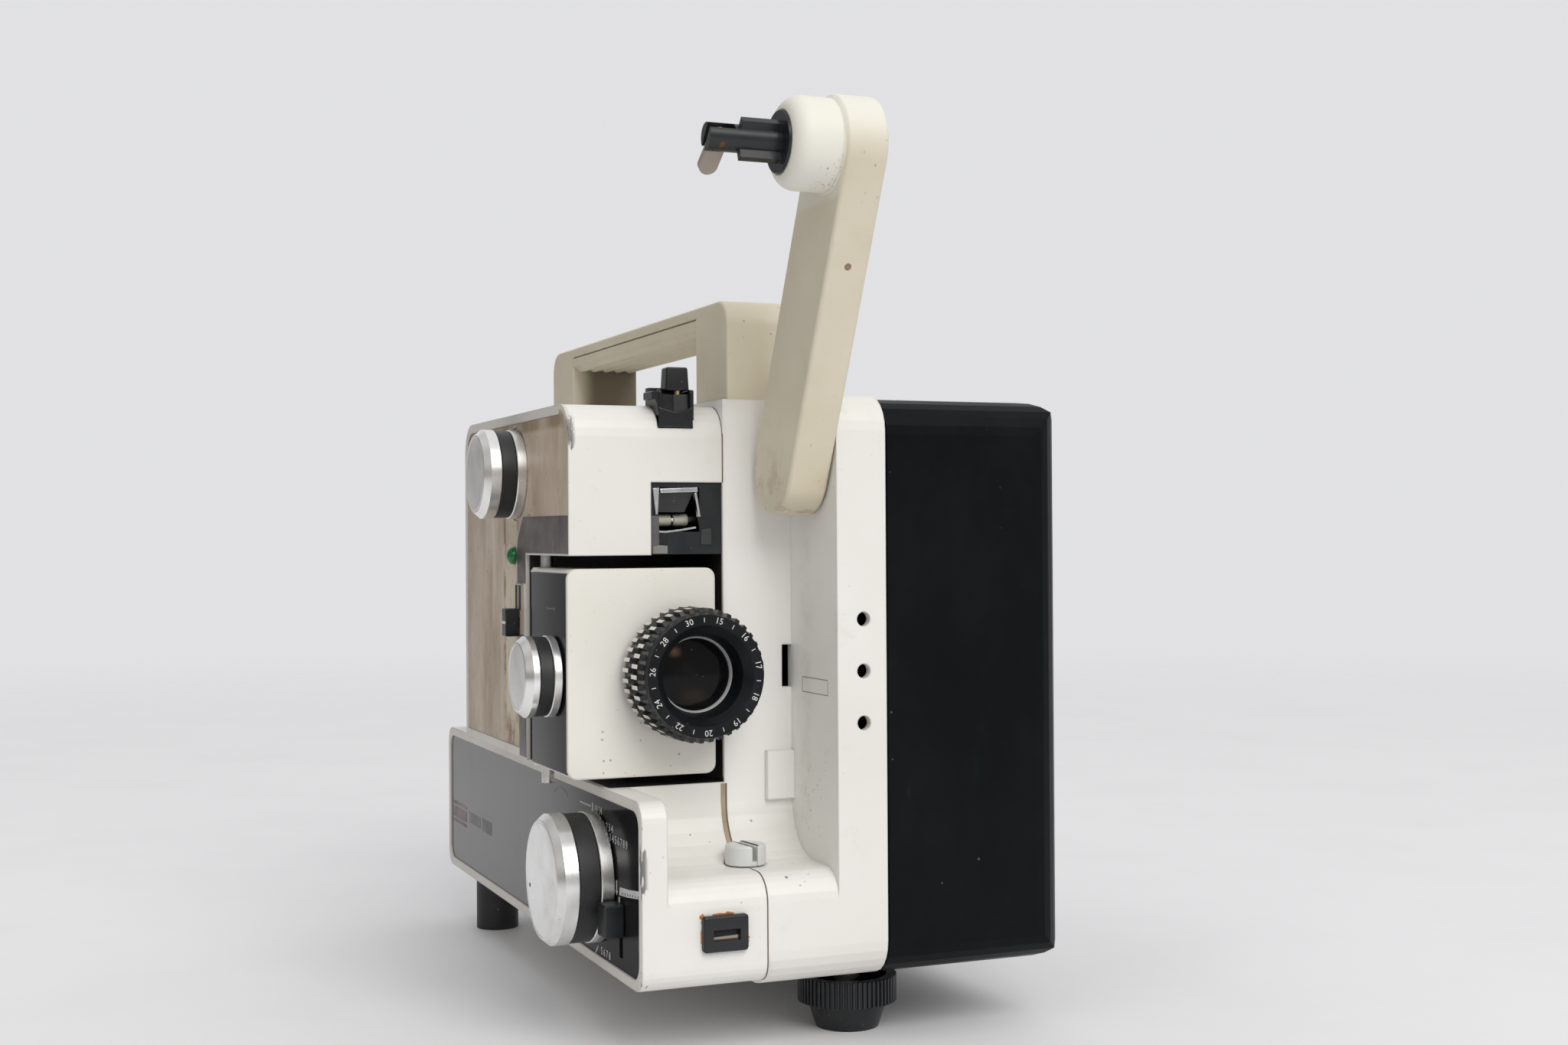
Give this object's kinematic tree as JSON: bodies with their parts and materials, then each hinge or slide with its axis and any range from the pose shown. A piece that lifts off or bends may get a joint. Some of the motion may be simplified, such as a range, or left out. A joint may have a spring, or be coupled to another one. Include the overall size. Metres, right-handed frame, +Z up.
{
  "type": "movie projector",
  "caption": "Small-gauge movie projector with folding reel arms, swing-out lens carrier, knobs on the control side, carrying handle and the drive inside.",
  "frame": {"origin": "on the table, under the middle of the whole object's box at rest", "axes": "+Z up, -Y to the front where the lens looks, -X to the control side"},
  "size_m": [0.162, 0.2838, 0.2741],
  "materials": {
    "ivory_paint": "satin painted casting and boxes",
    "cream_plastic": "satin moulded plastic",
    "black_cover": "satin black paint",
    "black_plastic": "satin moulded plastic",
    "panel_black": "semi-gloss control panel",
    "panel_taupe": "bare side panel with stains",
    "turned_alloy": "turned, satin",
    "rubber": "matte ribbed rubber",
    "steel": "bright steel",
    "lens_glass": "coated glass",
    "lamp_glass": "clear glass reflector",
    "green_jewel": "clear green plastic",
    "white_plastic": "white moulded plastic",
    "grey_plastic": "light grey moulded plastic",
    "ceramic": "unglazed socket body",
    "iron_core": "laminated core, lacquered"
  },
  "bodies": {
    "body": {"main_casting": "ivory_paint", "right_cover": "black_cover", "film_housing": "ivory_paint", "film_side_panel": "panel_taupe", "control_box": "ivory_paint", "control_panel": "panel_black", "carry_handle": "cream_plastic", "film_inlet": "black_plastic", "loop_chamber": "black_plastic", "loop_guide": "steel", "roller_shaft": "steel", "film_trimmer": "black_plastic", "gate_plate": "steel", "claw_lever": "steel", "lamp": "lamp_glass", "lamp_socket": "ceramic", "chassis_plate": "steel", "shaft_brackets": "steel", "transformer": "iron_core", "motor": "iron_core", "drive_belt": "rubber", "rear_feet": "rubber", "cover_screws": "steel", "mains_inlet": "black_plastic", "pilot_jewel": "green_jewel", "carrier_hinge_pin": "steel", "feed_pivot": "steel", "takeup_pivot": "steel"},
    "feed_arm": {"feed_arm": "cream_plastic"},
    "feed_spindle": {"feed_spindle": "black_plastic"},
    "feed_latch": {"feed_latch": "steel"},
    "takeup_arm": {"takeup_arm": "cream_plastic"},
    "takeup_spindle": {"takeup_spindle": "black_plastic"},
    "takeup_latch": {"takeup_latch": "steel"},
    "mode_knob": {"mode_knob": "turned_alloy", "mode_knob_band": "rubber"},
    "focus_knob": {"focus_knob": "turned_alloy", "focus_knob_band": "rubber"},
    "inching_knob": {"inching_knob": "turned_alloy", "inching_knob_band": "rubber"},
    "lens_carrier": {"lens_carrier": "ivory_paint", "lens_side_panel": "panel_black", "pressure_plate": "steel"},
    "lens_barrel": {"lens_barrel": "black_plastic", "front_glass": "lens_glass"},
    "zoom_ring": {"zoom_ring": "black_plastic", "lens_front_ring": "black_plastic"},
    "inlet_button": {"inlet_button": "black_plastic"},
    "framing_knob": {"framing_knob": "grey_plastic"},
    "speed_lever": {"speed_lever": "black_plastic"},
    "loop_slider": {"loop_slider": "black_plastic"},
    "foot_stem": {"foot_stem": "steel"},
    "levelling_foot": {"levelling_foot": "black_plastic"},
    "guide_roller": {"guide_roller": "white_plastic"},
    "main_shaft": {"main_shaft": "steel", "shutter": "black_plastic", "main_pulley": "turned_alloy"},
    "motor_rotor": {"motor_shaft": "steel", "motor_pulley": "turned_alloy", "fan": "black_plastic"}
  },
  "joints": [
    {"name": "feed_arm_fold", "type": "hinge", "parent": "body", "child": "feed_arm", "pos_m": [-0.0097, -0.0851, 0.1715], "axis": [1, 0, 0], "range_deg": [0, 154]},
    {"name": "feed_spindle_spin", "type": "hinge", "parent": "feed_arm", "child": "feed_spindle", "pos_m": [-0.0239, -0.1276, 0.25981], "axis": [1, 0, 0], "continuous": true},
    {"name": "feed_latch_flip", "type": "hinge", "parent": "feed_spindle", "child": "feed_latch", "pos_m": [-0.0418, -0.1276, 0.25981], "axis": [0, -0.7431, -0.6691], "range_deg": [-80, 0]},
    {"name": "takeup_arm_fold", "type": "hinge", "parent": "body", "child": "takeup_arm", "pos_m": [-0.0097, 0.1239, 0.164], "axis": [1, 0, 0], "range_deg": [0, 114]},
    {"name": "takeup_spindle_spin", "type": "hinge", "parent": "takeup_arm", "child": "takeup_spindle", "pos_m": [-0.0239, 0.1239, 0.094], "axis": [1, 0, 0], "continuous": true},
    {"name": "takeup_latch_flip", "type": "hinge", "parent": "takeup_spindle", "child": "takeup_latch", "pos_m": [-0.0418, 0.1239, 0.094], "axis": [0, -0.7431, -0.6691], "range_deg": [-80, 0]},
    {"name": "mode_knob_turn", "type": "hinge", "parent": "body", "child": "mode_knob", "pos_m": [-0.0569, -0.0581, 0.0485], "axis": [-1, 0, 0], "range_deg": [-60, 90]},
    {"name": "focus_knob_turn", "type": "hinge", "parent": "lens_carrier", "child": "focus_knob", "pos_m": [-0.0676, -0.0531, 0.109], "axis": [-1, 0, 0], "range_deg": [0, 150]},
    {"name": "inching_knob_turn", "type": "hinge", "parent": "body", "child": "inching_knob", "pos_m": [-0.0676, -0.0061, 0.1715], "axis": [-1, 0, 0], "continuous": true},
    {"name": "lens_carrier_swing", "type": "hinge", "parent": "body", "child": "lens_carrier", "pos_m": [-0.063, -0.0273, 0.079], "axis": [0, 0, -1], "range_deg": [0, 65]},
    {"name": "lens_focus_slide", "type": "slide", "parent": "lens_carrier", "child": "lens_barrel", "axis": [0, -1, 0], "range_m": [0, 0.004]},
    {"name": "zoom_ring_turn", "type": "hinge", "parent": "lens_barrel", "child": "zoom_ring", "pos_m": [-0.0323, -0.0681, 0.11], "axis": [0, -1, 0], "range_deg": [0, 90]},
    {"name": "inlet_button_press", "type": "slide", "parent": "body", "child": "inlet_button", "axis": [0, 0, -1], "range_m": [0, 0.0026], "stiffness_N_per_m": 150, "springref_m": -0.002},
    {"name": "framing_knob_turn", "type": "hinge", "parent": "body", "child": "framing_knob", "pos_m": [-0.0179, -0.0831, 0.053], "axis": [0, 0, 1], "range_deg": [-45, 45]},
    {"name": "speed_lever_slide", "type": "slide", "parent": "body", "child": "speed_lever", "axis": [0, 0, -1], "range_m": [0, 0.008]},
    {"name": "loop_slider_slide", "type": "slide", "parent": "body", "child": "loop_slider", "axis": [0, 0, 1], "range_m": [0, 0.009]},
    {"name": "foot_lift", "type": "slide", "parent": "body", "child": "foot_stem", "axis": [0, 0, -1], "range_m": [0, 0.008]},
    {"name": "foot_turn", "type": "hinge", "parent": "foot_stem", "child": "levelling_foot", "pos_m": [0.0186, -0.0751, 0], "axis": [0, 0, -1], "range_deg": [0, 1440]},
    {"name": "guide_roller_spin", "type": "hinge", "parent": "body", "child": "guide_roller", "pos_m": [-0.0189, -0.0591, 0.156], "axis": [1, 0, 0], "continuous": true},
    {"name": "main_shaft_spin", "type": "hinge", "parent": "body", "child": "main_shaft", "pos_m": [0.0091, -0.1031, 0.126], "axis": [0, 1, 0], "continuous": true},
    {"name": "motor_spin", "type": "hinge", "parent": "body", "child": "motor_rotor", "pos_m": [0.0481, -0.1031, 0.062], "axis": [0, 1, 0], "continuous": true}
  ],
  "couplings": [
    {"joint": "motor_spin", "follows": "main_shaft_spin", "ratio": 2.9178},
    {"joint": "inching_knob_turn", "follows": "main_shaft_spin", "ratio": 0.25},
    {"joint": "focus_knob_turn", "follows": "lens_focus_slide", "rad_per_m": 654.5},
    {"joint": "foot_turn", "follows": "foot_lift", "rad_per_m": 3141.6}
  ]
}
